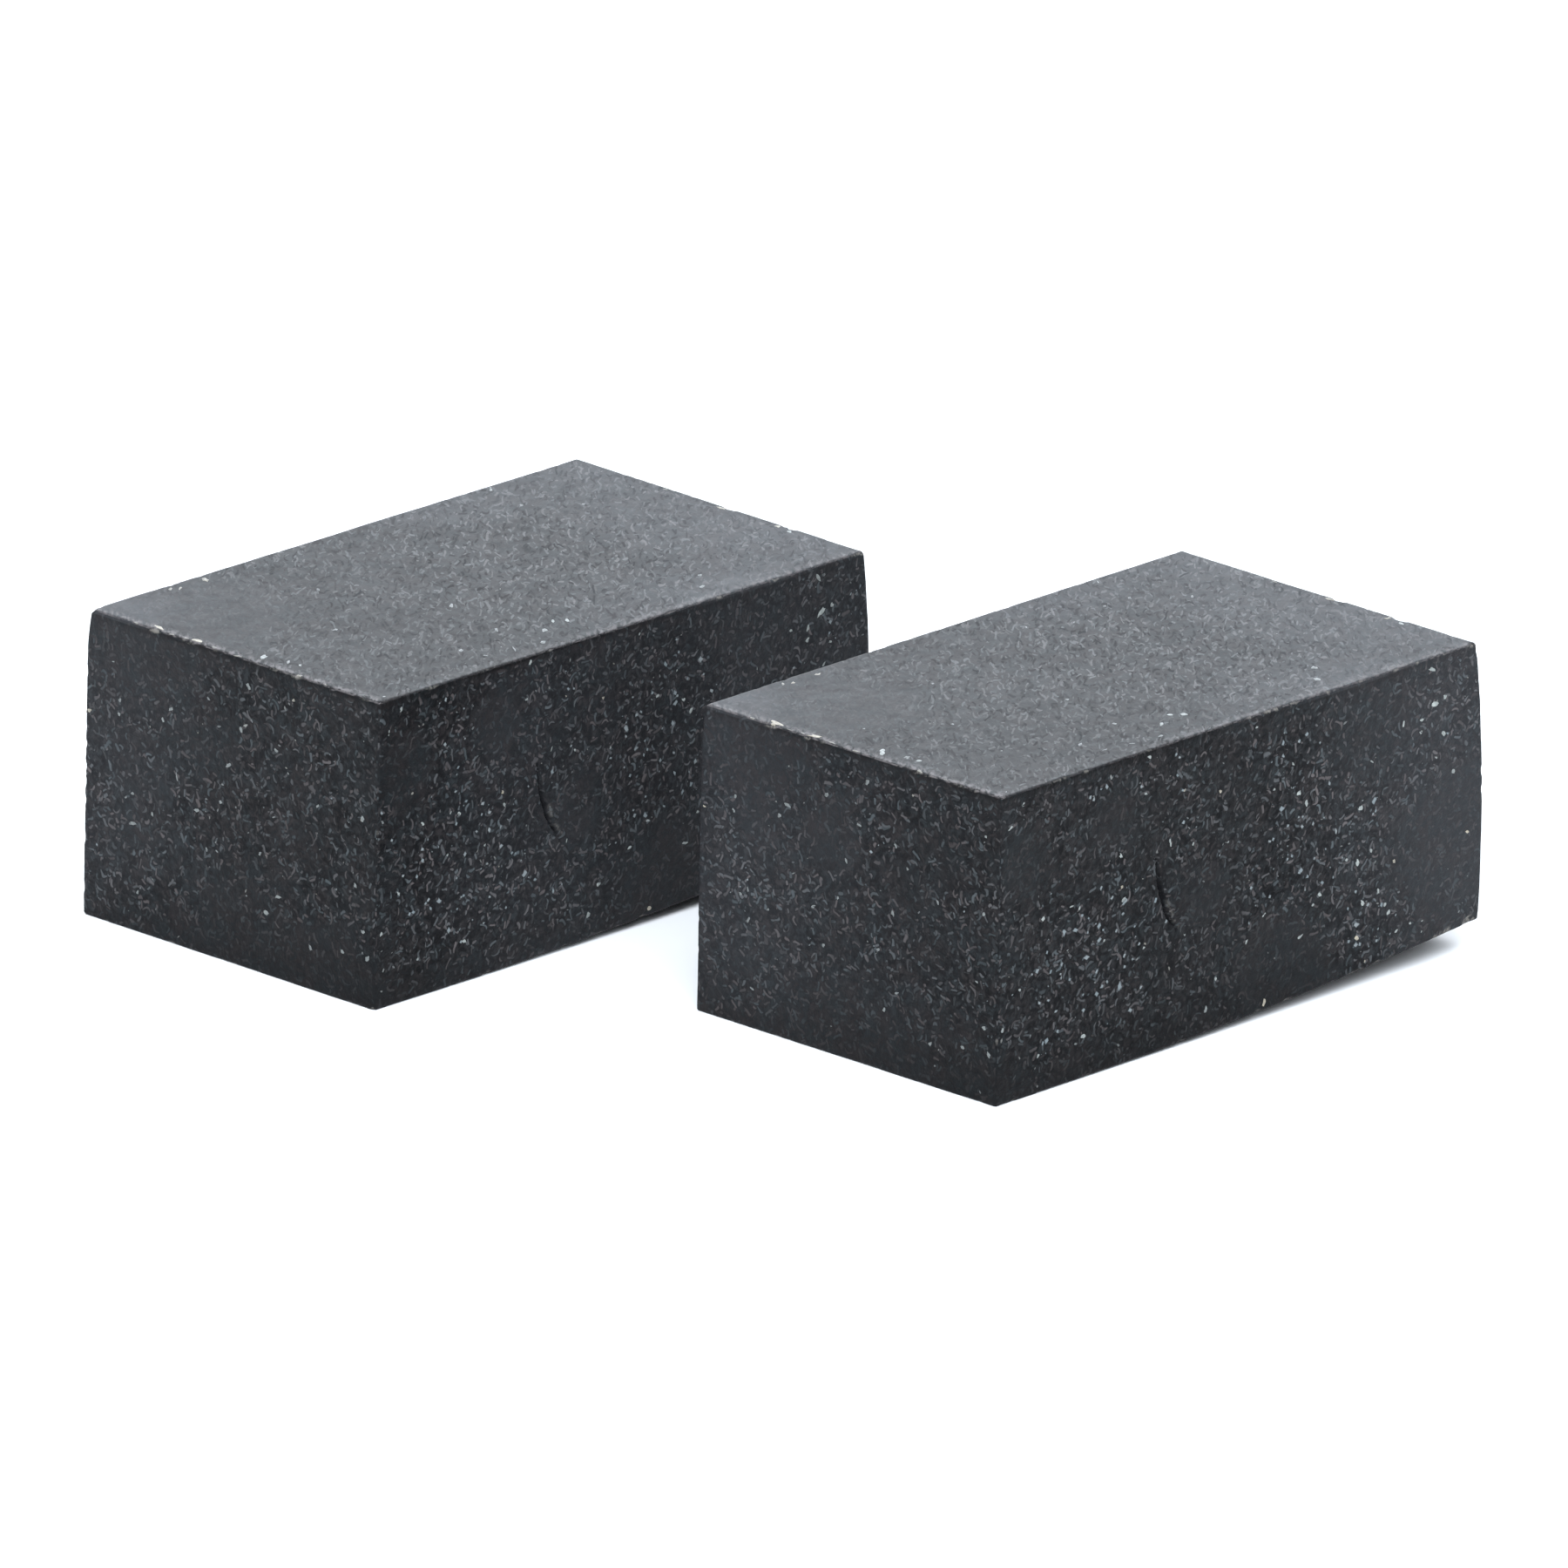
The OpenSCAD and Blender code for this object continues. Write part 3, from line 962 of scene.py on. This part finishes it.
# each softbox's name, azimuth, elevation, distance, width, height and radiance; the one behind
# is what the tops mirror
SOFTBOXES = [
    ("back_softbox", 133.0, 22.0, 1.0, 1.4, 0.7, 3.95),
    ("top_softbox", 0.0, 89.0, 1.0, 1.8, 1.8, 1.2),
    ("front_softbox", -46.0, 50.0, 1.2, 1.4, 1.4, 4.2),
]


def direction(azimuth, elevation):
    """From the object towards a camera or light at these angles."""
    a, e = math.radians(azimuth), math.radians(elevation)
    return Vector((math.sin(a) * math.cos(e), -math.cos(a) * math.cos(e), math.sin(e)))


def add_table():
    bm = bmesh.new()
    bmesh.ops.create_grid(bm, x_segments=8, y_segments=8, size=TABLE_REACH)
    mesh = bpy.data.meshes.new("table")
    bm.to_mesh(mesh)
    bm.free()
    table = new_object("table", mesh)
    g = Graph("white_table")
    g.shader.inputs["Base Color"].default_value = TABLE_COLOUR
    g.shader.inputs["Roughness"].default_value = 0.9
    g.shader.inputs["Specular IOR Level"].default_value = 0.1
    mesh.materials.append(g.material)


def add_softbox(name, azimuth, elevation, distance, width, height, radiance):
    """A soft light that is this bright to look at, 1 being white paper."""
    data = bpy.data.lights.new(name, "AREA")
    data.shape = "RECTANGLE"
    data.size, data.size_y = width, height
    data.energy = radiance * math.pi * width * height
    data.color = LIGHT_COLOUR
    light = bpy.data.objects.new(name, data)
    bpy.context.scene.collection.objects.link(light)
    towards = direction(azimuth, elevation)
    light.location = towards * distance
    light.rotation_euler = towards.to_track_quat("Z", "Y").to_euler()
    light.visible_camera = False


def add_world():
    world = bpy.data.worlds.new("studio")
    world.use_nodes = True
    background = world.node_tree.nodes["Background"]
    background.inputs["Color"].default_value = SKY_COLOUR
    background.inputs["Strength"].default_value = SKY_STRENGTH
    bpy.context.scene.world = world


def add_camera():
    data = bpy.data.cameras.new("camera")
    data.lens = CAMERA_LENS_MM
    data.sensor_width = CAMERA_SENSOR_MM
    data.clip_end = CAMERA_CLIP_END
    camera = bpy.data.objects.new("camera", data)
    bpy.context.scene.collection.objects.link(camera)
    back = direction(CAMERA_AZIMUTH, CAMERA_ELEVATION)
    right = back.cross(Vector((0, 0, -1))).normalized()
    up = back.cross(right)
    roll = math.radians(CAMERA_ROLL)
    tilted_right = right * math.cos(roll) + up * math.sin(roll)
    tilted_up = up * math.cos(roll) - right * math.sin(roll)
    turn = Matrix((tilted_right, tilted_up, back)).transposed().to_4x4()
    aim = REAR_LOW + CAMERA_AIM
    camera.matrix_world = Matrix.Translation(aim + back * CAMERA_DISTANCE) @ turn
    bpy.context.scene.camera = camera


def stick_frame(node, turn):
    """From millimetre shapes in metres to the table: the near lower corner's place and turn."""
    low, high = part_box(node)
    middle = (low + high) / 2
    middle.z = low.z
    corner = Matrix.Translation(Vector((-FAR / 2, -BACK / 2, 0.0)) * MM)
    return Matrix.Translation(middle) @ Matrix.Rotation(turn, 4, "Z") @ corner


# ---- build ----------------------------------------------------------------------------------
add_camera()
add_table()
add_world()
for softbox in SOFTBOXES:
    add_softbox(*softbox)
bpy.context.scene.view_settings.view_transform = "Standard"

for node, seed, turn in STICKS:
    block = make_block(node, seed)
    block.matrix_world = stick_frame(node, turn)
    block.data.materials.append(charcoal_material(node + "_charcoal", seed))
    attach(block, node)
    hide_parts(node)
    grains = make_grains(node, seed)
    grains.matrix_world = stick_frame(node, turn)
    grains.data.materials.append(grain_material(node + "_mineral", seed))
    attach(grains, node)
